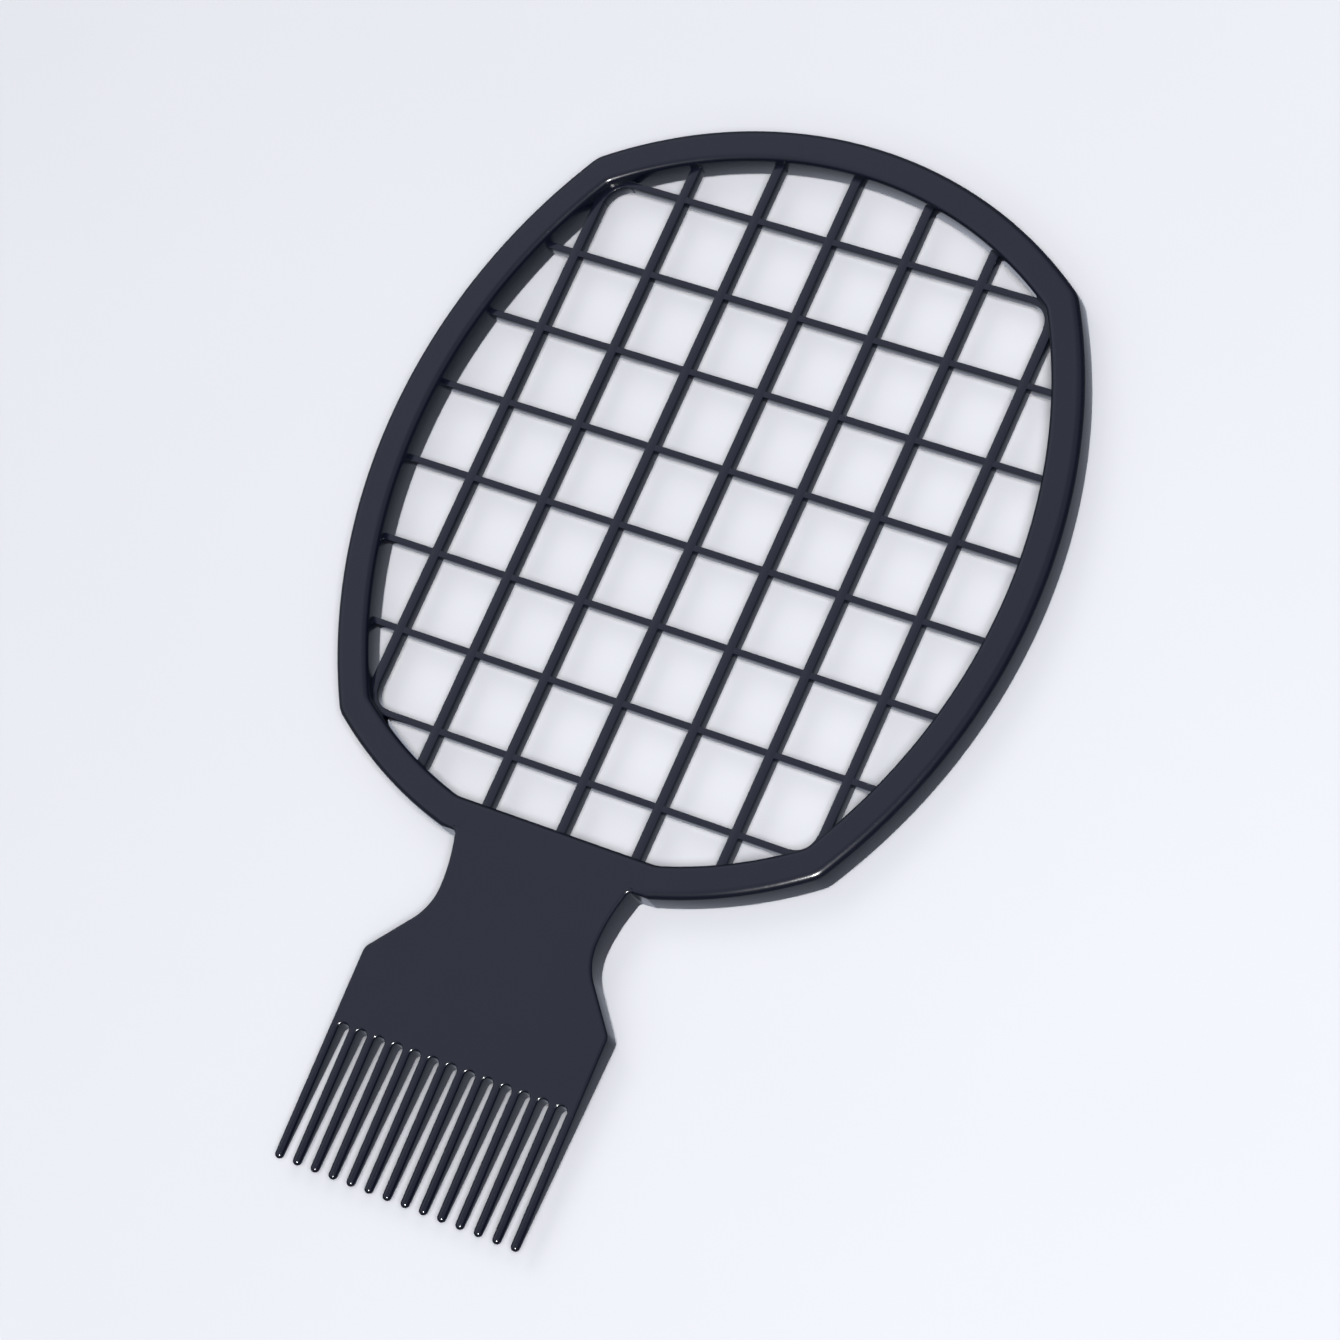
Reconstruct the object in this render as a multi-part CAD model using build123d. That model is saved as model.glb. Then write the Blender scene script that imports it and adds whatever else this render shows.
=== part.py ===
from build123d import *
import math
import os

# Hair twist comb: a barrel-shaped flat rim with a square grid inside it, a waisted neck
# below the rim, and a comb of straight teeth below the neck.  Millimetres, +Z up.
# The comb lies on its back.  X = 0 is its plane of symmetry and the teeth point to -Y.
# The origin is the centre of the footprint, on the underside of the rim.

# ---- driving dimensions ---------------------------------------------------------------
HEAD_WIDTH = 111.3          # rim, across the two long side arcs
HEAD_LENGTH = 122.9         # rim, between the tops of its two end arcs
SIDE_BULGE = 13.9           # how far a side arc stands out past the rim's corners
END_BULGE = 13.6            # how far an end arc stands out past the rim's corners
HEAD_CORNER_RADIUS = 5.0    # rounding of the rim's four outer corners
OPENING_CORNER_RADIUS = 2.5  # rounding of the opening's four corners
SILL_CORNER_RADIUS = 6.0    # rounding of the opening at the two ends of the sill
RIM_WIDTH = 5.2             # rim, seen from above
RIM_THICKNESS = 6.0         # rim, from its face to its back
RIM_OUTER_ROUND = 1.0       # rounding of the rim's outer edges
RIM_INNER_ROUND = 0.8       # rounding of the rim's inner edges
SILL_CUT = 2.3              # how far the lower end arc is cut off flat above the neck

GRID_PITCH = 13.0           # centre to centre, both ways
LONG_BAR_WIDTH = 1.5        # bars along Y
CROSS_BAR_WIDTH = 1.0       # bars along X
BAR_DEPTH = 2.0             # both kinds, centred in the rim's thickness
BAR_GAP = 1.0               # least gap between a bar and the wall that it runs beside
GUSSET_RADIUS = 3.2         # rounding of the four corner cells
GUSSET_FOOT = 0.1           # thickness of a gusset's two ends, on its two bars
GUSSET_LEAST = 0.05         # how far a gusset stands out from the rim's rounded corner, at least

NECK_TOP_WIDTH = 30.0       # where the neck leaves the sill
NECK_WIDTH = 27.3           # at the waist
NECK_DROP = 8.6             # from the sill down to the waist
NECK_ROUND = 9.0            # radius of the neck's side just below the waist
FLARE_ANGLE = 40.0          # degrees between the flaring sides and Y
SHOULDER_ROUND = 2.0        # rounding where a flaring side meets the comb's side

COMB_WIDTH = 42.4           # over the outer teeth
COMB_PLATE_LENGTH = 11.6    # from the shoulders to the tops of the slots
ROOT_THICKNESS = 3.1        # of the comb plate and the teeth, where they meet
EDGE_ROUND = 0.4            # rounding of the edges of the neck, the comb plate and the teeth
TOOTH_COUNT = 14
TOOTH_LENGTH = 21.9         # from the tops of the slots to the tips
TOOTH_WIDTH = 1.3           # at the root
TIP_DIAMETER = 1.4          # a tooth is round at its tip

# ---- places that follow from them -----------------------------------------------------


def arc_radius(half_chord, rise):
    """Radius of the arc over a chord, from half the chord and the arc's rise."""
    return (half_chord ** 2 + rise ** 2) / (2 * rise)


HALF_WIDTH = HEAD_WIDTH / 2
HALF_LENGTH = HEAD_LENGTH / 2
SIDE_RADIUS = arc_radius(HALF_LENGTH - END_BULGE, SIDE_BULGE)
END_RADIUS = arc_radius(HALF_WIDTH - SIDE_BULGE, END_BULGE)
SIDE_CENTRE = HALF_WIDTH - SIDE_RADIUS                  # on X, beyond the axis
END_CENTRE = HALF_LENGTH - END_RADIUS                   # on Y, beyond the head's centre
MID_Z = RIM_THICKNESS / 2
BAR_LOW = MID_Z - BAR_DEPTH / 2
BAR_HIGH = MID_Z + BAR_DEPTH / 2

FLARE = math.radians(FLARE_ANGLE)
FLARE_START_X = NECK_WIDTH / 2 + NECK_ROUND * (1 - math.cos(FLARE))
SILL = -(HALF_LENGTH - SILL_CUT)                        # from the head's centre
WAIST = SILL - NECK_DROP
FLARE_START = WAIST - NECK_ROUND * math.sin(FLARE)
SHOULDER = FLARE_START - (COMB_WIDTH / 2 - FLARE_START_X) / math.tan(FLARE)
SLOT_TOP = SHOULDER - COMB_PLATE_LENGTH
TIPS = SLOT_TOP - TOOTH_LENGTH

HEAD_Y = (-TIPS - HALF_LENGTH) / 2                      # the head's centre, from the origin

TOOTH_PITCH = (COMB_WIDTH - TOOTH_WIDTH) / (TOOTH_COUNT - 1)
SLOT_WIDTH = TOOTH_PITCH - TOOTH_WIDTH
TOOTH_START = SLOT_TOP - SLOT_WIDTH / 2                 # where the slots' sides run straight
BIG = 2 * (HEAD_WIDTH + HEAD_LENGTH)                    # larger than anything here


def barrel_corner(inset):
    """First-quadrant crossing of the side arc and the end arc, both moved in by inset."""
    side, end = SIDE_RADIUS - inset, END_RADIUS - inset
    span = math.hypot(SIDE_CENTRE, END_CENTRE)
    along = (side ** 2 - end ** 2 + span ** 2) / (2 * span)
    off = math.sqrt(side ** 2 - along ** 2)
    ux, uy = -SIDE_CENTRE / span, END_CENTRE / span
    return (SIDE_CENTRE + ux * along - uy * off, uy * along + ux * off)


def barrel(inset, corner_radius):
    """Outline of four arcs, the rim's outer outline moved inwards by inset, as a face."""
    x, y = barrel_corner(inset)
    side, end = HALF_WIDTH - inset, HALF_LENGTH - inset
    edges = [
        ThreePointArc((x, -y), (side, 0), (x, y)),
        ThreePointArc((x, y), (0, end), (-x, y)),
        ThreePointArc((-x, y), (-side, 0), (-x, -y)),
        ThreePointArc((-x, -y), (0, -end), (x, -y)),
    ]
    face = make_face(edges)
    return fillet(face.vertices(), corner_radius)


def at_head(shape):
    """Move a shape drawn about the head's centre to its place."""
    return Pos(0, HEAD_Y, 0) * shape


def above(y):
    """A large rectangle that covers everything above a line, from the head's centre."""
    return Pos(0, y + BIG / 2) * Rectangle(2 * BIG, BIG)


def opening_face():
    """The opening inside the rim: the barrel, cut off flat over the sill."""
    floor = SILL + RIM_WIDTH
    face = barrel(RIM_WIDTH, OPENING_CORNER_RADIUS) & above(floor)
    corners = [v for v in face.vertices() if abs(v.Y - floor) < 0.01]
    return fillet(corners, SILL_CORNER_RADIUS)


def opening_prism():
    """The opening through the whole thickness."""
    return at_head(extrude(opening_face(), RIM_THICKNESS))


def depth_inside(point):
    """How far a point lies inside the rim's outer outline."""
    from_side = SIDE_RADIUS - math.hypot(abs(point.X) - SIDE_CENTRE, point.Y)
    from_end = END_RADIUS - math.hypot(point.X, abs(point.Y) - END_CENTRE)
    return min(from_side, from_end, point.Y - SILL)


def face_edges(ring):
    """The edges that lie on the ring's face and on its back."""
    groups = ring.edges().group_by(Axis.Z)
    return groups[0] + groups[-1]


def rim():
    """The flat barrel-shaped rim: its edges are rounded, but the sill's edges stay square."""
    outline = barrel(0, HEAD_CORNER_RADIUS) & above(SILL)
    ring = extrude(outline - opening_face(), RIM_THICKNESS)
    inner = [e for e in face_edges(ring) if depth_inside(e @ 0.5) > RIM_WIDTH / 2]
    ring = fillet(inner, RIM_INNER_ROUND)
    outer = [e for e in face_edges(ring)
             if depth_inside(e @ 0.5) < RIM_WIDTH / 4 and (e @ 0.5).Y > SILL + 0.01]
    ring = fillet(outer, RIM_OUTER_ROUND)
    return at_head(ring)


def plate_outline():
    """The neck and the comb plate, from the sill down to where the teeth start."""
    upper_radius = arc_radius(NECK_DROP, (NECK_TOP_WIDTH - NECK_WIDTH) / 2)
    upper_angle = math.asin(NECK_DROP / upper_radius) / 2
    waist_x = NECK_WIDTH / 2
    top = (NECK_TOP_WIDTH / 2, SILL)
    upper_mid = (waist_x + upper_radius * (1 - math.cos(upper_angle)),
                 WAIST + upper_radius * math.sin(upper_angle))
    lower_mid = (waist_x + NECK_ROUND * (1 - math.cos(FLARE / 2)),
                 WAIST - NECK_ROUND * math.sin(FLARE / 2))
    edges = [
        ThreePointArc(top, upper_mid, (waist_x, WAIST)),
        ThreePointArc((waist_x, WAIST), lower_mid, (FLARE_START_X, FLARE_START)),
        Line((FLARE_START_X, FLARE_START), (COMB_WIDTH / 2, SHOULDER)),
        Line((COMB_WIDTH / 2, SHOULDER), (COMB_WIDTH / 2, TOOTH_START)),
        Line((COMB_WIDTH / 2, TOOTH_START), (0, TOOTH_START)),
        Line((0, TOOTH_START), (0, SILL)),
        Line((0, SILL), top),
    ]
    half = make_face(edges)
    whole = half + mirror(half, Plane.YZ)
    shoulders = [v for v in whole.vertices() if abs(v.Y - SHOULDER) < 0.01]
    return fillet(shoulders, SHOULDER_ROUND)


def plate():
    """The neck and comb plate in one, tapering evenly from the rim to the tooth roots."""
    rise, root = RIM_THICKNESS / 2, ROOT_THICKNESS / 2
    corners = [(SILL, MID_Z + rise), (TOOTH_START, MID_Z + root),
               (TOOTH_START, MID_Z - root), (SILL, MID_Z - rise)]
    taper = extrude(Plane.YZ * make_face(Polyline(*corners, close=True)), BIG, both=True)
    body = extrude(plate_outline(), RIM_THICKNESS) & taper
    return fillet([e for e in body.edges() if is_side_edge(e)], EDGE_ROUND)


def is_side_edge(edge):
    """Whether an edge runs down a side of the plate, on its face or on its back."""
    start, end = edge @ 0, edge @ 1
    down = abs(start.Y - end.Y)
    at_side = min(abs(start.X), abs(end.X)) > NECK_WIDTH / 2 - 0.01
    return at_side and down > 0.01 and down > abs(start.Z - end.Z)


def tooth_places():
    """X of each tooth, from left to right."""
    first = -(COMB_WIDTH - TOOTH_WIDTH) / 2
    return [first + i * TOOTH_PITCH for i in range(TOOTH_COUNT)]


def slots():
    """The spaces between the tooth roots, each with a round top."""
    cutters = []
    for x in tooth_places()[:-1]:
        round_top = Pos(x + TOOTH_PITCH / 2, TOOTH_START) * Circle(SLOT_WIDTH / 2)
        cutters.append(extrude(round_top, RIM_THICKNESS))
    return cutters


def neck_and_comb_plate():
    """The two pieces of the plate, parted across the shoulders."""
    whole = plate()
    upper_half = extrude(above(SHOULDER), RIM_THICKNESS)
    neck = whole & upper_half
    comb = whole - upper_half
    for slot in slots():
        comb -= slot
    arches = [e for e in comb.edges() if is_arch(e)]
    return at_head(neck), at_head(fillet(arches, EDGE_ROUND))


def is_arch(edge):
    """Whether an edge is the round top of a slot, on the face or on the back."""
    start, end, middle = edge @ 0, edge @ 1, edge @ 0.5
    at_ends = max(start.Y, end.Y) < TOOTH_START + 0.01
    return at_ends and middle.Y > TOOTH_START + SLOT_WIDTH / 4


def tooth(x):
    """One tooth: flat-sided at the root, round at the tip, with a ball end."""
    root_plane = Plane((x, TOOTH_START, MID_Z), x_dir=(1, 0, 0), z_dir=(0, -1, 0))
    tip_plane = root_plane.offset(TOOTH_START - TIPS - TIP_DIAMETER / 2)
    root = root_plane * RectangleRounded(TOOTH_WIDTH, ROOT_THICKNESS, EDGE_ROUND)
    tip = tip_plane * Circle(TIP_DIAMETER / 2)
    ball = Pos(tip_plane.origin) * Sphere(TIP_DIAMETER / 2)
    return at_head(loft([root, tip]) + ball)


def places(low, high, first, width):
    """Centres of the bars of one kind that lie clear of the walls at low and at high."""
    margin = width / 2 + BAR_GAP
    count = int((max(high, -low) - first) / GRID_PITCH) + 1
    reach = [first + i * GRID_PITCH for i in range(count)]
    both = sorted({-r for r in reach} | set(reach))
    return [place for place in both if low + margin < place < high - margin]


LONG_PLACES = places(RIM_WIDTH - HALF_WIDTH, HALF_WIDTH - RIM_WIDTH, 0.0, LONG_BAR_WIDTH)
CROSS_PLACES = places(SILL + RIM_WIDTH, HALF_LENGTH - RIM_WIDTH, GRID_PITCH / 2, CROSS_BAR_WIDTH)


def slab(width_x, width_y, x, y, low, high):
    """An upright box between two heights, about a point measured from the head's centre."""
    middle = (low + high) / 2
    return at_head(Pos(x, y, middle) * Box(width_x, width_y, high - low))


def long_bar(x, opening):
    """A bar along Y, halved from above where the cross bars lie in it."""
    bar = slab(LONG_BAR_WIDTH, BIG, x, 0, BAR_LOW, BAR_HIGH) & opening
    for y in CROSS_PLACES:
        bar -= slab(GRID_PITCH, CROSS_BAR_WIDTH, x, y, MID_Z, BAR_HIGH)
    return bar


def cross_bar(y, opening):
    """A bar along X, halved from below where it lies in the long bars."""
    bar = slab(BIG, CROSS_BAR_WIDTH, 0, y, BAR_LOW, BAR_HIGH) & opening
    for x in LONG_PLACES:
        bar -= slab(LONG_BAR_WIDTH, GRID_PITCH, x, y, BAR_LOW, MID_Z)
    return bar


def corner_cell():
    """The grid cell that the opening's rounded corner lies in: low x, high x, low y, high y."""
    x, y = barrel_corner(RIM_WIDTH)
    line_x = math.ceil(x / GRID_PITCH) * GRID_PITCH
    line_y = (math.ceil(y / GRID_PITCH - 0.5) + 0.5) * GRID_PITCH
    return (line_x - GRID_PITCH + LONG_BAR_WIDTH / 2, line_x - LONG_BAR_WIDTH / 2,
            line_y - GRID_PITCH + CROSS_BAR_WIDTH / 2, line_y - CROSS_BAR_WIDTH / 2)


def gusset_centre():
    """Centre of a gusset's arc: near both bars, and clear of the opening's rounded corner."""
    x, y = barrel_corner(RIM_WIDTH + OPENING_CORNER_RADIUS)
    back = (GUSSET_RADIUS + GUSSET_LEAST - OPENING_CORNER_RADIUS) / math.hypot(x, y)
    low_x, high_x, low_y, high_y = corner_cell()
    reach = GUSSET_RADIUS + GUSSET_FOOT
    return min(high_x - reach, x - back * x), min(high_y - reach, y - back * y)


def gusset(side_x, side_y, opening):
    """The rounded web in one corner cell, between its two bars and the rim."""
    low_x, high_x, low_y, high_y = corner_cell()
    x, y = gusset_centre()
    start_x, start_y = max(x, low_x), max(y, low_y)
    block = Rectangle(high_x - start_x, high_y - start_y)
    web = Pos((start_x + high_x) / 2, (start_y + high_y) / 2) * block
    web -= Pos(x, y) * Circle(GUSSET_RADIUS)
    web = Pos(0, 0, BAR_LOW) * extrude(web, BAR_DEPTH)
    if side_x < 0:
        web = mirror(web, Plane.YZ)
    if side_y < 0:
        web = mirror(web, Plane.XZ)
    return at_head(web) & opening


def main():
    """Make every piece and write it to its own STEP file."""
    opening = opening_prism()
    neck, comb = neck_and_comb_plate()
    pieces = {"head_rim": rim(), "neck": neck, "comb_plate": comb}
    for i, x in enumerate(tooth_places(), start=1):
        pieces[f"tooth_{i:02d}"] = tooth(x)
    for i, x in enumerate(LONG_PLACES, start=1):
        pieces[f"long_bar_{i}"] = long_bar(x, opening)
    for i, y in enumerate(CROSS_PLACES, start=1):
        pieces[f"cross_bar_{i}"] = cross_bar(y, opening)
    corners = {"lower_left": (-1, -1), "lower_right": (1, -1),
               "upper_left": (-1, 1), "upper_right": (1, 1)}
    for name, (side_x, side_y) in corners.items():
        pieces[f"gusset_{name}"] = gusset(side_x, side_y, opening)

    os.makedirs("parts", exist_ok=True)
    for name, piece in pieces.items():
        export_step(piece, f"parts/{name}.step")
    print(f"{len(pieces)} pieces, {HALF_LENGTH - TIPS:.1f} mm long, {HEAD_WIDTH:.1f} mm wide")


main()
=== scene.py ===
# %% [markdown]
# # A moulded hair twist comb
#
# A twist comb is one flat plastic moulding: a barrel-shaped rim around a square grid, a
# waisted neck, and a short comb of straight teeth.  Plastic leaves its mould with no
# sharp edge anywhere, and it is those small rounded edges that catch the light.  Plain
# boxes with a Bevel modifier would be quicker to make, but a bevel can't fade out where
# two features run into each other.  So each surface here is worked out as a formula that
# has the rounding in it.

# %% Load the frame
import math

import bmesh
import bpy
import numpy as np
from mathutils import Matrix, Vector


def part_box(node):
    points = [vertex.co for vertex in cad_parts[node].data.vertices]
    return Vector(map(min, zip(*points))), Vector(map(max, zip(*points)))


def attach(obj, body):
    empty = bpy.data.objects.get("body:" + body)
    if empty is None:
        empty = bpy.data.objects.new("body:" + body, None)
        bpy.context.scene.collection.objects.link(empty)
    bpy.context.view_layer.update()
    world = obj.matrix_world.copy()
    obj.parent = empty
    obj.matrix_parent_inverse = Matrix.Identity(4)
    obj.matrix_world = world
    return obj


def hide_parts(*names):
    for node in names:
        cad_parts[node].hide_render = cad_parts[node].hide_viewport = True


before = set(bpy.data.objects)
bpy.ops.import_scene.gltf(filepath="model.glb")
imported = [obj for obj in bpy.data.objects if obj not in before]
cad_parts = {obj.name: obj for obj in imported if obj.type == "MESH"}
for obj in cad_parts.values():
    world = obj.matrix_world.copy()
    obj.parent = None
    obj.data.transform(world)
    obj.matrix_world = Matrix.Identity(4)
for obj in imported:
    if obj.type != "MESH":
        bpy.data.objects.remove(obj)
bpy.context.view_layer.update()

print("frame nodes:", len(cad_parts))

# %% [markdown]
# ## Sizes
#
# The frame's own boxes say where each feature lies.  Everything is worked out in
# millimetres and turned to metres only when a mesh is made.  The outline of the rim is
# four arcs.  A box can't show how far the side and end arcs stand out past the corners
# or how wide the rim is, so these sizes are written down.


# %% Sizes read from the frame
MM = 1000.0                 # millimetres in a metre


def box_mm(node):
    """Lowest and highest corner of a frame node, in millimetres."""
    low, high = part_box(node)
    return np.array(low) * MM, np.array(high) * MM


rim_low, rim_high = box_mm("head_rim")
comb_low, comb_high = box_mm("comb_plate")
tooth_low, tooth_high = box_mm("tooth_01")
long_low, long_high = box_mm("long_bar_4")
cross_low, cross_high = box_mm("cross_bar_1")

HALF_WIDTH = 55.65          # of the rim's outline, over its side arcs
HALF_LENGTH = 61.45         # of the rim's outline, over its end arcs
SIDE_BULGE = 13.9           # a side arc's rise over the rim's corners
END_BULGE = 13.6            # an end arc's rise over the rim's corners
RIM_WIDTH = 5.2             # seen from above
HEAD_Y = rim_high[1] - HALF_LENGTH
SILL = rim_low[1]           # flat end of the rim, where the neck starts
MID_Z = (rim_low[2] + rim_high[2]) / 2
HALF_THICK = (rim_high[2] - rim_low[2]) / 2
BAR_TOP = long_high[2]
BAR_LOW = long_low[2]
print(f"head centre at y = {HEAD_Y:.2f}, sill at y = {SILL:.2f}, mid height {MID_Z:.2f} mm")

# %% [markdown]
# ## From arrays to meshes
#
# A surface that depends on two parameters becomes a grid of points.  The points go into
# a mesh together with faces that join each point to its neighbours.  The same shapes
# could be built face by face with bmesh, but whole arrays are shorter and every point
# stays exactly on its formula.  Where two grids share an edge, their points coincide and
# are merged, so the surface is closed and the shading runs across the join.


# %% Grid and mesh helpers
def grid_faces(rows, columns, close_columns=False):
    """Quads between neighbouring points of a grid whose points are numbered row by row.

    The quad at row r and column c joins points rC + c, rC + c + 1 and the same two of the
    next row, where C is the number of columns.  A closed grid goes round to column 0.
    """
    last = columns if close_columns else columns - 1
    r, c = np.meshgrid(np.arange(rows - 1), np.arange(last), indexing="ij")
    n = (c + 1) % columns
    quads = np.stack([r * columns + c, r * columns + n, (r + 1) * columns + n,
                      (r + 1) * columns + c], axis=-1)
    return quads.reshape(-1, 4)


def join(grids):
    """Put several (points, faces) pairs into one pair, renumbering the faces."""
    points, faces, count = [], [], 0
    for p, f in grids:
        points.append(p.reshape(-1, 3))
        faces.append(np.asarray(f) + count)
        count += len(points[-1])
    return np.concatenate(points), np.concatenate(faces)


MERGE_WITHIN = 2e-6         # metres: points this close become one
SHORTEST_EDGE = 1e-7        # metres: an edge this short is taken out
SMOOTH_BELOW = math.radians(40)


def moulded_piece(name, points, faces, replaces):
    """Make one mesh object from points in mm: merged, closed, smooth up to an angle."""
    mesh = bpy.data.meshes.new(name)
    mesh.from_pydata((points / MM).tolist(), [], faces.tolist())
    bm = bmesh.new()
    bm.from_mesh(mesh)
    bmesh.ops.remove_doubles(bm, verts=bm.verts, dist=MERGE_WITHIN)
    bmesh.ops.dissolve_degenerate(bm, edges=bm.edges, dist=SHORTEST_EDGE)
    open_edges = [e for e in bm.edges if e.is_boundary]
    if open_edges:
        bmesh.ops.holes_fill(bm, edges=open_edges, sides=0)
    bmesh.ops.recalc_face_normals(bm, faces=bm.faces)
    left_open = sum(e.is_boundary for e in bm.edges)
    bm.to_mesh(mesh)
    bm.free()
    mesh.shade_smooth()
    mesh.set_sharp_from_angle(angle=SMOOTH_BELOW)
    piece = bpy.data.objects.new(name, mesh)
    bpy.context.scene.collection.objects.link(piece)
    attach(piece, "root")
    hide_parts(*replaces)
    print(f"{name}: {len(mesh.polygons)} faces, {left_open} open edges")


# %% [markdown]
# ## The barrel-shaped outline
#
# The rim is drawn with four arcs, and a Bezier curve bent by eye would drift away from
# them.  Moving an arc inwards only shortens its radius, so one function gives the rim's
# outer edge and, with an inset, its inner edge.  Both are cut off flat above the neck.
# Each stretch has the same number of points on the two outlines, so that point number k
# of one lies across the rim from point number k of the other.


# %% Outline arcs
def arc_radius(half_chord, rise):
    """Radius of an arc: (half chord squared + rise squared) over twice the rise."""
    return (half_chord ** 2 + rise ** 2) / (2 * rise)


SIDE_RADIUS = arc_radius(HALF_LENGTH - END_BULGE, SIDE_BULGE)
END_RADIUS = arc_radius(HALF_WIDTH - SIDE_BULGE, END_BULGE)
SIDE_CENTRE = HALF_WIDTH - SIDE_RADIUS      # on X, left of the axis
END_CENTRE = HALF_LENGTH - END_RADIUS       # on Y, below the head's centre


def corner_centre(inset):
    """Where the side arc and the end arc cross once both have moved inwards by inset.

    Two circles of radius s and e, whose centres are d apart, cross (s^2 - e^2 + d^2) / 2d
    along the line from centre to centre, and to the side of it by Pythagoras.
    """
    side, end = SIDE_RADIUS - inset, END_RADIUS - inset
    span = math.hypot(SIDE_CENTRE, END_CENTRE)
    along = (side ** 2 - end ** 2 + span ** 2) / (2 * span)
    off = math.sqrt(side ** 2 - along ** 2)
    ux, uy = -SIDE_CENTRE / span, END_CENTRE / span
    return SIDE_CENTRE + ux * along - uy * off, uy * along + ux * off


def arc(cx, cy, radius, start, end, count):
    """Points at even angles on a circle, from start to end in radians, the last left out."""
    a = np.linspace(start, end, count, endpoint=False)
    return np.stack([cx + radius * np.cos(a), cy + radius * np.sin(a)], axis=1)


def line(start, end, count):
    """Points evenly along a straight stretch, the last left out."""
    t = np.linspace(0, 1, count, endpoint=False)[:, None]
    return np.array(start) * (1 - t) + np.array(end) * t


SIDE_POINTS = 120           # along a whole side arc
END_POINTS = 60             # along half an end arc
CORNER_POINTS = 10
SILL_CORNER_POINTS = 8
SILL_POINTS = 6             # on the sill, each side of the neck
NECK_POINTS = 40            # on the sill, behind the neck


def barrel_outline(inset, corner, floor, floor_corner, joint):
    """Closed outline about the head's centre, counter-clockwise from the lower right.

    Each corner is an arc of the given radius whose centre is where the side and end arcs
    cross after moving in by inset + corner.  The lower end arc stops at the flat floor.
    joint is the half width of the stretch of floor that the neck covers.
    """
    cx, cy = corner_centre(inset + corner)
    side_angle = math.atan2(cy, cx - SIDE_CENTRE)
    end_angle = math.atan2(cy - END_CENTRE, cx)
    fy = floor + floor_corner
    drop = fy + END_CENTRE
    fx = math.sqrt((END_RADIUS - inset - floor_corner) ** 2 - drop ** 2)
    floor_angle = math.atan2(drop, fx)
    pi, down = math.pi, -math.pi / 2
    side, end = SIDE_RADIUS - inset, END_RADIUS - inset
    stretches = [
        arc(0, -END_CENTRE, end, floor_angle, -end_angle, END_POINTS),
        arc(cx, -cy, corner, -end_angle, -side_angle, CORNER_POINTS),
        arc(SIDE_CENTRE, 0, side, -side_angle, side_angle, SIDE_POINTS),
        arc(cx, cy, corner, side_angle, end_angle, CORNER_POINTS),
        arc(0, END_CENTRE, end, end_angle, pi / 2, END_POINTS),
        arc(0, END_CENTRE, end, pi / 2, pi - end_angle, END_POINTS),
        arc(-cx, cy, corner, pi - end_angle, pi - side_angle, CORNER_POINTS),
        arc(-SIDE_CENTRE, 0, side, pi - side_angle, pi + side_angle, SIDE_POINTS),
        arc(-cx, -cy, corner, pi + side_angle, pi + end_angle, CORNER_POINTS),
        arc(0, -END_CENTRE, end, pi + end_angle, pi - floor_angle, END_POINTS),
        arc(-fx, fy, floor_corner, -pi - floor_angle, down, SILL_CORNER_POINTS),
        line((-fx, floor), (-joint, floor), SILL_POINTS),
        line((-joint, floor), (joint, floor), NECK_POINTS),
        line((joint, floor), (fx, floor), SILL_POINTS),
        arc(fx, fy, floor_corner, down, floor_angle, SILL_CORNER_POINTS),
    ]
    return np.concatenate(stretches)


# %% [markdown]
# ## The rim
#
# The rim is a flat bar bent round the grid.  Its section is a rectangle with rounded
# edges.  Its walls are crowned: they lean in a little towards each face, because a
# moulding needs that draft to leave the two halves of its mould.  A curve with a bevel
# could sweep one section round, but here the section changes on the way: where the neck
# joins on, the rounding fades out and the wall is set back behind the neck.  So every
# station along the two outlines gets its own section.

# %% Rim section carried along the two outlines
WALL_CROWN = 0.16           # how far a wall leans in, from mid height to a face
OUTER_ROUND = 1.0           # rounding of the rim's edges
INNER_ROUND = 0.8
OUTER_CORNER = 5.0          # the barrel's corners, seen from above
INNER_CORNER = 2.5
OUTER_SILL_CORNER = 1.5
INNER_SILL_CORNER = 6.0
NECK_EDGE = 0.5             # rounding of the neck's long edges
NECK_FILLET = 0.8           # between the neck's side and the sill
NECK_HALF = 14.85           # the neck's half width just below that fillet
JOINT_HALF = NECK_HALF + NECK_FILLET
INNER_JOINT_HALF = JOINT_HALF - 1.0     # the opening's share of the sill is shorter
FACE_START = 1.15           # a face starts this many roundings in from its wall
FADE = 3.0                  # length over which the rim's rounding grows past the joint
ROUND_STEPS = 7
quarter = np.linspace(0, math.pi / 2, ROUND_STEPS)
wall_levels = np.array([0, 0.3, 0.6, 0.9])      # shares of the wall's upright height


def wall_and_edge(rounding, crown, half_height):
    """One wall from mid height up to the flat face: depth from the wall, and height.

    The wall leans in by crown (z / h)^2 at height z of half height h.  The edge adds a
    quarter circle: its depth is r (1 - cos a) and its height h - r (1 - sin a).
    """
    rounding, crown = rounding[:, None], crown[:, None]
    up = (half_height - rounding) * wall_levels
    turn = half_height + rounding * (np.sin(quarter) - 1)
    height = np.concatenate([up, turn, half_height + 0 * rounding], axis=1)
    turned = rounding * (1 - np.cos(quarter))
    edge = np.concatenate([0 * up, turned, FACE_START * rounding], axis=1)
    return crown * (height / half_height) ** 2 + edge, height


# %% The two outlines, and where the rounding fades
SAME_PLACE = 1e-6           # mm
floor_y = SILL - HEAD_Y
outer = barrel_outline(0, OUTER_CORNER, floor_y, OUTER_SILL_CORNER, JOINT_HALF)
inner = barrel_outline(RIM_WIDTH, INNER_CORNER, floor_y + RIM_WIDTH, INNER_SILL_CORNER,
                       INNER_JOINT_HALF)
across = inner - outer
rim_breadth = np.linalg.norm(across, axis=1, keepdims=True)
across = across / rim_breadth

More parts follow.
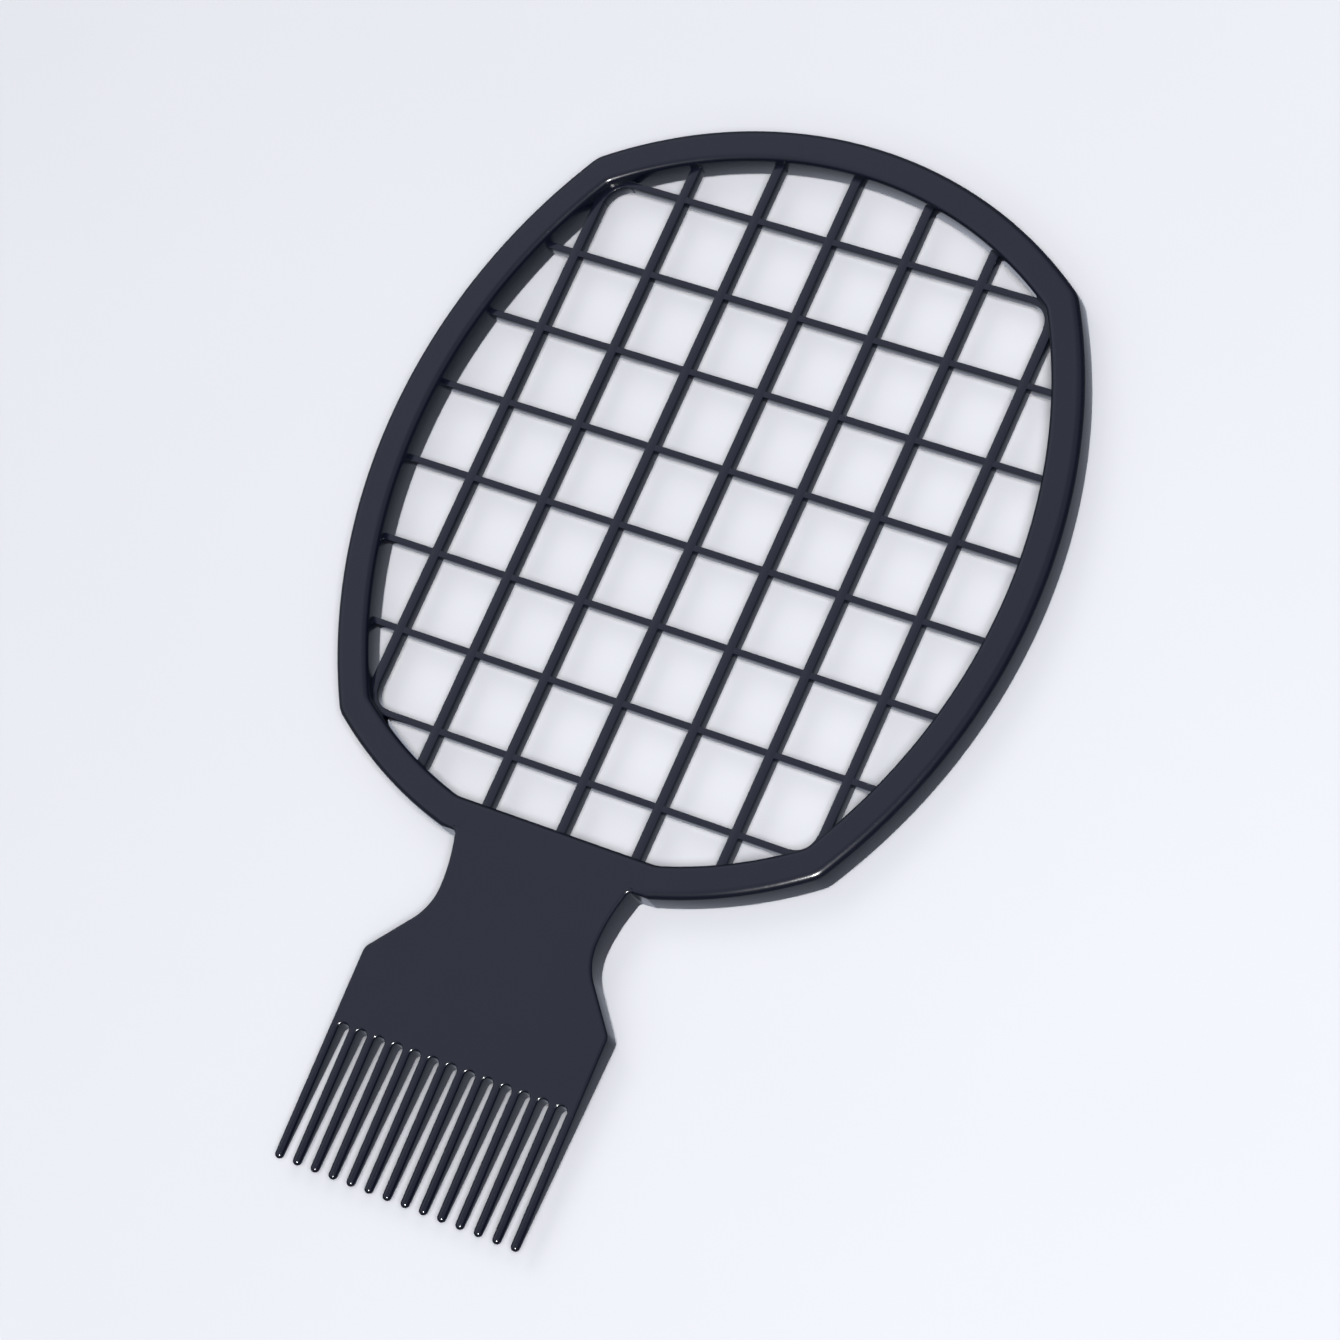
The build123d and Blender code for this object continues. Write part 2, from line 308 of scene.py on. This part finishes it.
on_sill = np.abs(outer[:, 1] - floor_y) < SAME_PLACE
behind_neck = on_sill & (np.abs(outer[:, 0]) < JOINT_HALF - SAME_PLACE)
past_joint = np.clip((np.abs(outer[:, 0]) - JOINT_HALF) / FADE, 0, 1)
past_joint[outer[:, 1] > floor_y + 1.0] = 1.0       # everywhere but on the sill
outer_round = NECK_EDGE + (OUTER_ROUND - NECK_EDGE) * past_joint
outer_depth, outer_z = wall_and_edge(outer_round, WALL_CROWN * past_joint, HALF_THICK)
outer_depth[behind_neck] = FACE_START * NECK_EDGE
inner_round = np.full(len(inner), INNER_ROUND)
inner_depth, inner_z = wall_and_edge(inner_round, 0 * inner_round + WALL_CROWN, HALF_THICK)
print(f"{len(outer)} stations, the rim {rim_breadth.min():.2f} mm across or more")

# %% The rim's mesh
upper_depth = np.concatenate([outer_depth, (rim_breadth - inner_depth)[:, ::-1]], axis=1)
upper_z = np.concatenate([outer_z, inner_z[:, ::-1]], axis=1)
section_depth = np.concatenate([upper_depth, upper_depth[:, -2:0:-1]], axis=1)
section_z = np.concatenate([upper_z, -upper_z[:, -2:0:-1]], axis=1)
rim_xy = outer[:, None, :] + across[:, None, :] * section_depth[:, :, None]
rim_points = np.dstack([rim_xy[..., 0], rim_xy[..., 1] + HEAD_Y, MID_Z + section_z])
stations, columns = section_depth.shape
rim_faces = grid_faces(stations + 1, columns, close_columns=True) % (stations * columns)
moulded_piece("rim", rim_points.reshape(-1, 3), rim_faces, ["head_rim"])

# %% [markdown]
# ## The teeth
#
# A tooth is flat-sided where it leaves the plate and round at its tip.  A tapered
# cylinder would be round at the root as well, so the section is a rectangle with rounded
# corners, and the corner radius grows until the section is a circle.  At the very end
# the section shrinks like the slices of a ball.

# %% Places along the comb
TOOTH_COUNT = sum(name.startswith("tooth_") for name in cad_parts)
TOOTH_WIDTH = 1.3
ROOT_HALF_THICK = (tooth_high[2] - tooth_low[2]) / 2
TIP_RADIUS = 0.7
TIPS = tooth_low[1]
TOOTH_START = tooth_high[1]             # level with the centres of the slots' arches
PLATE_HALF = comb_high[0]
PITCH = (2 * PLATE_HALF - TOOTH_WIDTH) / (TOOTH_COUNT - 1)
SLOT_HALF = (PITCH - TOOTH_WIDTH) / 2
TOOTH_EDGE = 0.4            # rounding of a tooth's long edges at its root
BODY_STATIONS = 28
BALL_STATIONS = 8
POLE_LEFT = 1e-6            # keeps the last section open by less than MERGE_WITHIN
tooth_x = -(PLATE_HALF - TOOTH_WIDTH / 2) + PITCH * np.arange(TOOTH_COUNT)
print(f"{TOOTH_COUNT} teeth, {PITCH:.3f} mm apart, {TOOTH_START - TIPS:.1f} mm long")


# %% One tooth
def tooth_surface(x):
    """Grid of points along one tooth, from its root to the pole of its round end.

    At distance s from the root the half width is w(s), the half thickness t(s) and the
    corner radius r(s), all straight-line blends from the root's values to the tip's.
    Over the last stretch, all three are scaled by the slice of a ball, sqrt(1 - u^2).
    """
    length = TOOTH_START - TIPS - TIP_RADIUS
    body = np.linspace(0, 1, BODY_STATIONS)
    ball = np.sin(np.linspace(0, math.pi / 2, BALL_STATIONS + 1))[1:]
    s = np.concatenate([body, np.ones(BALL_STATIONS)])
    u = np.concatenate([np.zeros(BODY_STATIONS), ball])
    shrink = np.sqrt(np.clip(1 - u ** 2, POLE_LEFT, 1))
    w = (TOOTH_WIDTH / 2 + (TIP_RADIUS - TOOTH_WIDTH / 2) * s) * shrink
    t = (ROOT_HALF_THICK + (TIP_RADIUS - ROOT_HALF_THICK) * s) * shrink
    r = (TOOTH_EDGE + (TIP_RADIUS - TOOTH_EDGE) * s) * shrink
    y = TOOTH_START - s * length - u * TIP_RADIUS
    ring_x, ring_z = [], []
    for k in range(4):
        a = quarter[None, :] + k * math.pi / 2
        sx = 1 if k in (0, 3) else -1
        sz = 1 if k in (0, 1) else -1
        ring_x.append(sx * (w - r)[:, None] + r[:, None] * np.cos(a))
        ring_z.append(sz * (t - r)[:, None] + r[:, None] * np.sin(a))
        ring_x.append(0 * w[:, None] + (0 if k % 2 == 0 else sx * w[:, None]))
        ring_z.append(0 * w[:, None] + (sz * t[:, None] if k % 2 == 0 else 0))
    px, pz = np.concatenate(ring_x, axis=1), np.concatenate(ring_z, axis=1)
    points = np.dstack([x + px, np.broadcast_to(y[:, None], px.shape), MID_Z + pz])
    return points, grid_faces(*px.shape, close_columns=True)


for number, x in enumerate(tooth_x, start=1):
    points, faces = tooth_surface(x)
    moulded_piece(f"comb_tooth_{number:02d}", points.reshape(-1, 3), faces,
                  [f"tooth_{number:02d}"])

# %% [markdown]
# ## The neck and the comb plate
#
# From the rim the neck narrows to a waist, then flares in a straight slope to the
# shoulders, and the plate below carries the teeth.  It thins evenly all the way.  An
# extruded outline with Boolean slots would give the shape but leave ragged edges that no
# rounding could follow.  Instead, one half outline is a chain of arcs and lines.  Its
# rounded edge is that outline moved inwards along its own normal, and the face between
# the two rounded edges is ruled straight across.

# %% Half outline of the neck
WAIST = SILL - 8.6          # the narrowest place lies this far below the sill
WAIST_HALF = 13.65
WAIST_ROUND = 9.0           # radius of the curve below the waist
FLARE = math.radians(40)
SHOULDER_ROUND = 2.0
ARCH_HEIGHT = 2.5           # the strip of plate that the slots' arches are cut from
STRIP_TOP = TOOTH_START + ARCH_HEIGHT
TAPER_EASE = 4.0            # length over which the taper begins


def half_outline():
    """Right-hand outline from the sill to the strip, and its inward normals.

    In order: a small fillet, a long arc to the waist, a tight arc below it, the
    straight flare, the rounded shoulder and the straight side.  The last number of each
    stretch is its count of points.  A normal is the tangent turned by a quarter.
    """
    top_x, top_y = NECK_HALF, SILL - NECK_FILLET
    rise, half_chord = top_x - WAIST_HALF, top_y - WAIST
    long_radius = (rise ** 2 + half_chord ** 2) / (2 * rise)
    long_angle = math.asin(half_chord / long_radius)
    flare_x = WAIST_HALF + WAIST_ROUND * (1 - math.cos(FLARE))
    flare_y = WAIST - WAIST_ROUND * math.sin(FLARE)
    inset = SHOULDER_ROUND * math.tan(FLARE / 2)
    corner_y = flare_y - (PLATE_HALF - flare_x) / math.tan(FLARE)
    pi = math.pi
    parts = [
        arc(JOINT_HALF, top_y, NECK_FILLET, pi / 2, pi, 10),
        arc(WAIST_HALF + long_radius, WAIST, long_radius, pi - long_angle, pi, 24),
        arc(WAIST_HALF + WAIST_ROUND, WAIST, WAIST_ROUND, pi, pi + FLARE, 18),
        line((flare_x, flare_y), (PLATE_HALF - inset * math.sin(FLARE),
                                  corner_y + inset * math.cos(FLARE)), 12),
        arc(PLATE_HALF - SHOULDER_ROUND, corner_y - inset, SHOULDER_ROUND, FLARE, 0, 10),
        line((PLATE_HALF, corner_y - inset), (PLATE_HALF, STRIP_TOP), 14),
        np.array([(PLATE_HALF, STRIP_TOP)]),
    ]
    outline = np.concatenate(parts)
    tangent = np.gradient(outline, axis=0)
    tangent[0], tangent[-1] = (-1, 0), (0, -1)
    tangent /= np.linalg.norm(tangent, axis=1, keepdims=True)
    return outline, np.stack([tangent[:, 1], -tangent[:, 0]], axis=1)


def half_thickness(y):
    """Half the plate's thickness: level at the sill, then a straight taper.

    The slope grows evenly over the first e millimetres, so the face has no crease:
    the drop is slope t^2 / 2e up to t = e and slope (t - e / 2) after that.
    """
    e = TAPER_EASE
    t = np.clip(SILL - y, 0, None)
    slope = (HALF_THICK - ROOT_HALF_THICK) / (SILL - TOOTH_START - e / 2)
    drop = np.where(t < e, slope * t ** 2 / (2 * e), slope * (t - e / 2))
    return HALF_THICK - drop


# %% [markdown]
# The arches between the teeth are cells of a comb: each cell reaches from the middle of
# one tooth to the middle of the next.  A ray from the arch's centre at angle a meets the
# cell's border at half the pitch over |cos a|, or at the strip's height over sin a,
# whichever is nearer.  The surface runs from the arch's rounded edge out to that border.

# %% Edge rows shared by the plate and its arches
RAYS = 9                    # to each of a cell's sides
reach = PITCH / 2
turn_angle = math.atan2(ARCH_HEIGHT, reach)
side_rays = np.linspace(0, turn_angle, RAYS)
top_rays = np.linspace(turn_angle, math.pi - turn_angle, RAYS)[1:-1]
rays = np.concatenate([side_rays, top_rays, math.pi - side_rays[::-1]])
border = np.minimum(reach / np.maximum(np.abs(np.cos(rays)), 1e-9),
                    ARCH_HEIGHT / np.maximum(np.sin(rays), 1e-9))
on_top = slice(RAYS - 1, 1 - RAYS)              # the rays that end on the cell's upper side
slot_x = tooth_x[:-1] + PITCH / 2


def edge_band(start, normal, rounding):
    """Upper and lower rounded edges and the wall between them, as (row, column, xyz).

    start is where the wall stands and normal points into the plastic.  The depth is
    r (1 - cos a), and the height follows the plate's own thickness at that place.
    """
    depth = rounding * np.concatenate([[FACE_START], 1 - np.cos(quarter[::-1])])
    drop = rounding * np.concatenate([[0], 1 - np.sin(quarter[::-1])])
    xy = start[:, None, :] + normal[:, None, :] * depth[None, :, None]
    z = half_thickness(xy[..., 1]) - drop[None, :]
    upper = np.dstack([xy, MID_Z + z])
    lower = np.dstack([xy, MID_Z - z])[:, ::-1]
    return np.concatenate([upper, lower], axis=1)


def arch_cell(centre_x):
    """The strip's surface around one slot, from tooth middle to tooth middle."""
    way = np.stack([np.cos(rays), np.sin(rays)], axis=1)
    centre = np.array([centre_x, TOOTH_START])
    band = edge_band(centre + way * SLOT_HALF, way, TOOTH_EDGE)
    border_xy = centre + way * border[:, None]
    thick = half_thickness(border_xy[:, 1])
    top = np.column_stack([border_xy, MID_Z + thick])[:, None]
    low = np.column_stack([border_xy, MID_Z - thick])[:, None]
    points = np.concatenate([top, band, low], axis=1)
    return points, grid_faces(*points.shape[:2])


def side_strip(side):
    """The outer half of an end tooth's root, beside the strip of arches."""
    y = TOOTH_START + reach * np.tan(side_rays[::-1])
    start = np.column_stack([np.full(len(y), side * PLATE_HALF), y])
    normal = np.column_stack([np.full(len(y), -side), 0 * y])
    band = edge_band(start, normal, TOOTH_EDGE)
    middle = np.full(len(y), side * (PLATE_HALF - TOOTH_WIDTH / 2))
    thick = half_thickness(y)
    top = np.column_stack([middle, y, MID_Z + thick])[:, None]
    low = np.column_stack([middle, y, MID_Z - thick])[:, None]
    points = np.concatenate([top, band, low], axis=1)
    return points, grid_faces(*points.shape[:2])


# %% The plate itself
def plate_tube():
    """Closed bands from the sill to the strip: wall, edge, face, edge, wall and back."""
    outline, normal = half_outline()
    blend = np.clip((SILL - outline[:, 1]) / (SILL - STRIP_TOP), 0, 1)
    rounding = NECK_EDGE + (TOOTH_EDGE - NECK_EDGE) * blend
    rows = []
    ends = border[on_top] * np.cos(rays[on_top])
    cell_x = np.concatenate([c + ends for c in slot_x])
    face_x = np.unique(np.round(cell_x, 6))[::-1]
    for k in range(len(outline)):
        right = edge_band(outline[k:k + 1], normal[k:k + 1], rounding[k])[0]
        upper, lower = right[:len(right) // 2], right[len(right) // 2:]
        y = upper[0, 1]
        x = face_x * (upper[0, 0] / (PLATE_HALF - FACE_START * TOOTH_EDGE))
        z = half_thickness(np.full(len(x), y))
        face = np.column_stack([x, np.full(len(x), y), MID_Z + z])
        back = np.column_stack([x, np.full(len(x), y), MID_Z - z])
        flip = np.array([-1, 1, 1])
        rows.append(np.concatenate([upper[::-1], face, upper * flip, lower * flip,
                                    back[::-1], lower[::-1]]))
    points = np.array(rows)
    return points, grid_faces(*points.shape[:2], close_columns=True)


plate_grids = [plate_tube(), side_strip(1), side_strip(-1)]
plate_grids += [arch_cell(x) for x in slot_x]
points, faces = join(plate_grids)
moulded_piece("neck_and_comb_plate", points, faces, ["neck", "comb_plate"])

# %% [markdown]
# ## The grid
#
# Each bar is a straight run of a small rectangle with rounded edges.  Two sets of whole
# bars laid through each other would fight for the same surface where they cross.  So the
# long bars run through from rim to rim, and the cross bars are laid between them in
# short lengths that start where the long bars' rounding ends.

# %% Bars of the grid
BAR_EDGE = 0.08             # rounding of a bar's edges
BAR_EDGE_STEPS = 4
SINK = 1.5                  # how far a bar's end goes into the rim's wall


def bar_run(start, end, width):
    """A straight bar between two points (x, y): its rounded section at both ends."""
    start, end = np.array(start, float), np.array(end, float)
    way = (end - start) / np.linalg.norm(end - start)
    side = np.array([way[1], -way[0]])
    half, tall = width / 2, (BAR_TOP - BAR_LOW) / 2
    offsets, heights = [], []
    for k, (sx, sz) in enumerate(((1, 1), (-1, 1), (-1, -1), (1, -1))):
        a = np.linspace(0, math.pi / 2, BAR_EDGE_STEPS) + k * math.pi / 2
        offsets.append(sx * (half - BAR_EDGE) + BAR_EDGE * np.cos(a))
        heights.append(sz * (tall - BAR_EDGE) + BAR_EDGE * np.sin(a))
    offset, height = np.concatenate(offsets), np.concatenate(heights)
    rows = [np.column_stack([place + side * offset[:, None], MID_Z + height])
            for place in (start, end)]
    points = np.array(rows)
    return points, grid_faces(2, len(offset), close_columns=True)


def wall_x(y):
    """Half width of the opening at a height y from the head's centre."""
    side = SIDE_CENTRE + math.sqrt((SIDE_RADIUS - RIM_WIDTH) ** 2 - y ** 2)
    end = math.sqrt(max((END_RADIUS - RIM_WIDTH) ** 2 - (abs(y) - END_CENTRE) ** 2, 0))
    return min(side, end)


def wall_y(x):
    """Half length of the opening at a distance x from the axis."""
    side = math.sqrt(max((SIDE_RADIUS - RIM_WIDTH) ** 2 - (abs(x) - SIDE_CENTRE) ** 2, 0))
    end = END_CENTRE + math.sqrt((END_RADIUS - RIM_WIDTH) ** 2 - x ** 2)
    return min(side, end)


# %% Lay the bars
bar_boxes = {name: box_mm(name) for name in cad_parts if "_bar_" in name}
long_names = sorted(name for name in bar_boxes if name.startswith("long"))
cross_names = sorted(name for name in bar_boxes if name.startswith("cross"))
long_x = [bar_boxes[name][0][0] / 2 + bar_boxes[name][1][0] / 2 for name in long_names]
cross_y = [bar_boxes[name][0][1] / 2 + bar_boxes[name][1][1] / 2 for name in cross_names]
LONG_WIDTH = long_high[0] - long_low[0]
CROSS_WIDTH = cross_high[1] - cross_low[1]
floor_inside = floor_y + RIM_WIDTH

for name, x in zip(long_names, long_x):
    top = HEAD_Y + wall_y(x) + SINK
    low = HEAD_Y + max(-wall_y(x), floor_inside) - SINK
    points, faces = bar_run((x, low), (x, top), LONG_WIDTH)
    moulded_piece(name.replace("long_bar", "grid_long"), points.reshape(-1, 3), faces, [name])

for name, y in zip(cross_names, cross_y):
    end = wall_x(y - HEAD_Y) + SINK
    inside = [x for x in long_x if abs(x) < end - SINK]
    starts = [-end] + [x + LONG_WIDTH / 2 - BAR_EDGE for x in inside]
    stops = [x - LONG_WIDTH / 2 + BAR_EDGE for x in inside] + [end]
    runs = [bar_run((a, y), (b, y), CROSS_WIDTH) for a, b in zip(starts, stops)]
    points, faces = join(runs)
    moulded_piece(name.replace("cross_bar", "grid_cross"), points, faces, [name])

# %% [markdown]
# The four corner cells of the grid have a rounded web, which lets the plastic flow round
# the corner of the mould.  A fillet on the bars would need them joined first, so the web
# is a piece of its own.  It uses the same ray rule as the arches: from a small rounded
# arc out to the two bars.

# %% Corner webs
WEB_RADIUS = 3.2
WEB_FOOT = 0.1              # flat stretch between the arc's end and the bar
WEB_RAYS = 25


def corner_web(side_x, side_y):
    """The web in one corner: from an arc out to the square corner behind it.

    A row of points runs from the square corner over the top, round the arc's rounded
    edges and back under the web, and there is one row for each angle along the arc.
    """
    edge_x = max(long_x) - LONG_WIDTH / 2 + BAR_EDGE
    edge_y = max(cross_y) - HEAD_Y - CROSS_WIDTH / 2 + BAR_EDGE
    span = WEB_RADIUS + BAR_EDGE + WEB_FOOT
    centre = np.array([edge_x - span, edge_y - span])
    a = np.linspace(0, math.pi / 2, WEB_RAYS)
    way = np.column_stack([np.cos(a), np.sin(a)])
    far = span / np.maximum(np.cos(a), np.sin(a))
    tall = (BAR_TOP - BAR_LOW) / 2
    edge = quarter[::-2]
    depth = WEB_RADIUS + BAR_EDGE * (1 - np.cos(edge))
    height = tall + BAR_EDGE * (np.sin(edge) - 1)
    columns = [np.column_stack([centre + way * far[:, None], np.full(len(a), tall)])]
    for d, h in zip(depth, height):
        columns.append(np.column_stack([centre + way * d, np.full(len(a), h)]))
    upper = np.array(columns)
    lower = upper[::-1] * np.array([1, 1, -1])
    points = np.concatenate([upper, lower]) * np.array([side_x, side_y, 1])
    points = points.transpose(1, 0, 2) + np.array([0, HEAD_Y, MID_Z])
    return points, grid_faces(*points.shape[:2], close_columns=True)


for vertical, side_y in (("lower", -1), ("upper", 1)):
    for horizontal, side_x in (("left", -1), ("right", 1)):
        points, faces = corner_web(side_x, side_y)
        moulded_piece(f"corner_web_{vertical}_{horizontal}", points.reshape(-1, 3), faces,
                      [f"gusset_{vertical}_{horizontal}"])

# %% [markdown]
# ## The plastic
#
# The comb is black polypropylene, injection moulded in a polished mould.  The polish
# gives a satin gloss, never a mirror: the surface has a faint orange peel where the
# plastic shrank, and the sheen wanders a little from place to place.  Scanned pictures of
# plastic could show this, but they need seams and stretch on the teeth.  Noise that is
# worked out in space runs over every piece without a seam, at sizes given in millimetres.


# %% Colour and node helpers
def srgb(code):
    """Linear RGBA of a hex colour: each channel is c / 12.92, or ((c + 0.055) / 1.055)^2.4."""
    channels = [int(code[i:i + 2], 16) / 255 for i in (1, 3, 5)]
    linear = [c / 12.92 if c <= 0.04045 else ((c + 0.055) / 1.055) ** 2.4 for c in channels]
    return (*linear, 1.0)


def add_node(tree, kind, links=None, **settings):
    """Add a node, set its properties and sockets, and link outputs into its inputs."""
    node = tree.nodes.new(kind)
    for key, value in settings.items():
        if hasattr(node, key):
            setattr(node, key, value)
        else:
            node.inputs[key.replace("_", " ")].default_value = value
    for socket, source in (links or {}).items():
        tree.links.new(source, node.inputs[socket])
    return node


# %% Black moulded polypropylene
# A noise scale of MM / n has features of about n millimetres.
CLOUD_SIZE = 14.0           # mm, patches of slightly different sheen
PEEL_SIZE = 1.1             # mm, the orange peel
GRAIN_SIZE = 0.35           # mm; the real grain is finer, and this is the finest that shows
MIX_A, MIX_B = 6, 7         # the two colour inputs of a Mix node


def moulded_polypropylene():
    """Black satin polypropylene with orange peel and a wandering sheen.

    A slow noise moves the roughness between 0.18 and 0.24 and the tint between two near
    blacks.  Two finer ones raise the surface by a few hundredths of a millimetre.
    """
    material = bpy.data.materials.new("black polypropylene, moulded satin")
    material.use_nodes = True
    tree = material.node_tree
    tree.nodes.clear()
    place = add_node(tree, "ShaderNodeTexCoord").outputs["Object"]
    cloud = add_node(tree, "ShaderNodeTexNoise", {"Vector": place},
                     Scale=MM / CLOUD_SIZE, Detail=3.0, Roughness=0.5)
    peel = add_node(tree, "ShaderNodeTexNoise", {"Vector": place},
                    Scale=MM / PEEL_SIZE, Detail=2.0, Roughness=0.5)
    grain = add_node(tree, "ShaderNodeTexNoise", {"Vector": place},
                     Scale=MM / GRAIN_SIZE, Detail=1.0, Roughness=0.5)
    sheen = add_node(tree, "ShaderNodeMapRange", {"Value": cloud.outputs["Fac"]},
                     From_Min=0.35, From_Max=0.65, To_Min=0.18, To_Max=0.24)
    tint = add_node(tree, "ShaderNodeMix", {"Factor": cloud.outputs["Fac"]},
                    data_type="RGBA")
    tint.inputs[MIX_A].default_value = srgb("#060812")
    tint.inputs[MIX_B].default_value = srgb("#090c18")
    soft = add_node(tree, "ShaderNodeBump", {"Height": peel.outputs["Fac"]},
                    Strength=0.25, Distance=0.04 / MM)
    fine = add_node(tree, "ShaderNodeBump", {"Height": grain.outputs["Fac"],
                                             "Normal": soft.outputs["Normal"]},
                    Strength=0.2, Distance=0.02 / MM)
    shader = add_node(tree, "ShaderNodeBsdfPrincipled",
                      {"Base Color": tint.outputs[2], "Roughness": sheen.outputs["Result"],
                       "Normal": fine.outputs["Normal"]}, IOR=1.49)
    add_node(tree, "ShaderNodeOutputMaterial", {"Surface": shader.outputs["BSDF"]})
    return material


black_plastic = moulded_polypropylene()
meshes = [obj for obj in bpy.data.objects if obj.type == "MESH"]
for obj in meshes:
    if obj.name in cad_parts:
        for slot in obj.material_slots:
            slot.material = black_plastic
    else:
        obj.data.materials.append(black_plastic)
print(f"{black_plastic.name}: on {len(meshes)} meshes")

# %% [markdown]
# ## Floor, light and camera
#
# The comb lies on a pale sheet.  Black plastic shows mostly what it reflects, so with
# lamps alone it would look like a hole.  The room around it is therefore a gradient:
# bright overhead, dark around the horizon, and pale again far down, where walls mirror
# the sheet.  A strong soft lamp lights the sheet through the grid and between the teeth,
# a second one gives the shadow its side, and a small one puts the thin bright lines on
# the rounded edges.


# %% Floor
MOTTLE_SIZE = 60.0          # mm
FLOOR_HALF = 2.0            # metres


def pale_sheet():
    """Matt pale paper: a slow noise moves it between two tones that are nearly the same."""
    material = bpy.data.materials.new("matt pale paper")
    material.use_nodes = True
    tree = material.node_tree
    tree.nodes.clear()
    place = add_node(tree, "ShaderNodeTexCoord").outputs["Object"]
    mottle = add_node(tree, "ShaderNodeTexNoise", {"Vector": place},
                      Scale=MM / MOTTLE_SIZE)
    tone = add_node(tree, "ShaderNodeMix", {"Factor": mottle.outputs["Fac"]},
                    data_type="RGBA")
    tone.inputs[MIX_A].default_value = srgb("#b4b3b0")
    tone.inputs[MIX_B].default_value = srgb("#b7b6b3")
    shader = add_node(tree, "ShaderNodeBsdfPrincipled", {"Base Color": tone.outputs[2]},
                      Roughness=0.8, Specular_IOR_Level=0.2)
    add_node(tree, "ShaderNodeOutputMaterial", {"Surface": shader.outputs["BSDF"]})
    return material


floor_mesh = bpy.data.meshes.new("floor")
corners = [(-FLOOR_HALF, -FLOOR_HALF, 0), (FLOOR_HALF, -FLOOR_HALF, 0),
           (FLOOR_HALF, FLOOR_HALF, 0), (-FLOOR_HALF, FLOOR_HALF, 0)]
floor_mesh.from_pydata(corners, [], [(0, 1, 2, 3)])
floor_mesh.materials.append(pale_sheet())
floor = bpy.data.objects.new("floor", floor_mesh)
bpy.context.scene.collection.objects.link(floor)
floor.visible_glossy = False            # walls mirror the room's pale lower side instead


# %% Lamps
def soft_lamp(name, position, size, watts, colour, seen_in_gloss=True, lights_matt=True):
    """A round lamp that faces the origin, its position and size in metres."""
    lamp = bpy.data.lights.new(name, "AREA")
    lamp.shape = "DISK"
    lamp.size = size
    lamp.energy = watts
    lamp.color = srgb(colour)[:3]
    holder = bpy.data.objects.new(name, lamp)
    holder.location = position
    holder.rotation_euler = (-Vector(position)).to_track_quat("-Z", "Y").to_euler()
    holder.visible_glossy = seen_in_gloss
    holder.visible_diffuse = lights_matt
    bpy.context.scene.collection.objects.link(holder)
    print(f"{name}: {watts:.0f} W")


soft_lamp("window", (-0.9, 0.7, 1.3), size=0.9, watts=5.0, colour="#fffaf0",
          seen_in_gloss=False)
soft_lamp("fill", (0.81, -0.36, 1.62), size=0.72, watts=57.0, colour="#f1f3ff",
          seen_in_gloss=False)
soft_lamp("edge lamp", (0.55, -0.85, 0.8), size=0.18, watts=45.0, colour="#ffffff",
          lights_matt=False)

# %% Room
# (height of a direction, brightness of the room there)
ROOM_TONES = [(-1.0, 0.5), (-0.86, 0.47), (-0.75, 0.1), (0.2, 0.1), (0.65, 0.46)]
BRIGHT_SIDE = (-1.0, 0.2, 0.0)      # left, and a little towards the rim's far end


def bright_room():
    """A room that is lit from above and a little more from the left.

    The brightness follows a direction's height, from -1 down to 1 up, through the tones
    above.  It is multiplied by a slope: 1.15, growing evenly to 2.8 towards the bright
    side, where the direction's dot product with that side reaches 1.
    """
    world = bpy.data.worlds.new("bright room")
    world.use_nodes = True
    tree = world.node_tree
    tree.nodes.clear()
    way = add_node(tree, "ShaderNodeTexCoord").outputs["Generated"]
    height = add_node(tree, "ShaderNodeSeparateXYZ", {"Vector": way}).outputs["Z"]
    place = add_node(tree, "ShaderNodeMapRange", {"Value": height}, From_Min=-1.0)
    tones = add_node(tree, "ShaderNodeValToRGB", {"Fac": place.outputs["Result"]})
    stops = tones.color_ramp.elements
    while len(stops) < len(ROOM_TONES):
        stops.new(0.5)
    for stop, (level, tone) in zip(stops, ROOM_TONES):
        stop.position = (level + 1) / 2
        stop.color = (tone, tone, tone, 1)
    tinted = add_node(tree, "ShaderNodeMix", data_type="RGBA", blend_type="MULTIPLY")
    tinted.inputs["Factor"].default_value = 1.0
    tinted.inputs[MIX_B].default_value = srgb("#e7eeff")
    tree.links.new(tones.outputs["Color"], tinted.inputs[MIX_A])
    sideways = add_node(tree, "ShaderNodeVectorMath", {0: way}, operation="DOT_PRODUCT")
    sideways.inputs[1].default_value = BRIGHT_SIDE
    slope = add_node(tree, "ShaderNodeMapRange", {"Value": sideways.outputs["Value"]},
                     To_Min=1.15, To_Max=2.8)
    light = add_node(tree, "ShaderNodeBackground", {"Color": tinted.outputs[2],
                                                    "Strength": slope.outputs["Result"]})
    add_node(tree, "ShaderNodeOutputWorld", {"Surface": light.outputs["Background"]})
    return world


bpy.context.scene.world = bright_room()

# %% Camera
CAMERA_PLACE = (0.34603, -0.16115, 0.68434)     # metres
CAMERA_TURN = (22.048, 19.325, 25.335)          # degrees about x, y and z
LENS = 141.58                                   # mm, on a sensor 36 mm wide
camera_data = bpy.data.cameras.new("camera")
camera_data.sensor_width = 36.0
camera_data.lens = LENS
camera_data.clip_start = 0.01
camera = bpy.data.objects.new("camera", camera_data)
camera.location = CAMERA_PLACE
camera.rotation_euler = [math.radians(a) for a in CAMERA_TURN]
bpy.context.scene.collection.objects.link(camera)
bpy.context.scene.camera = camera
bpy.context.scene.view_settings.view_transform = "Standard"
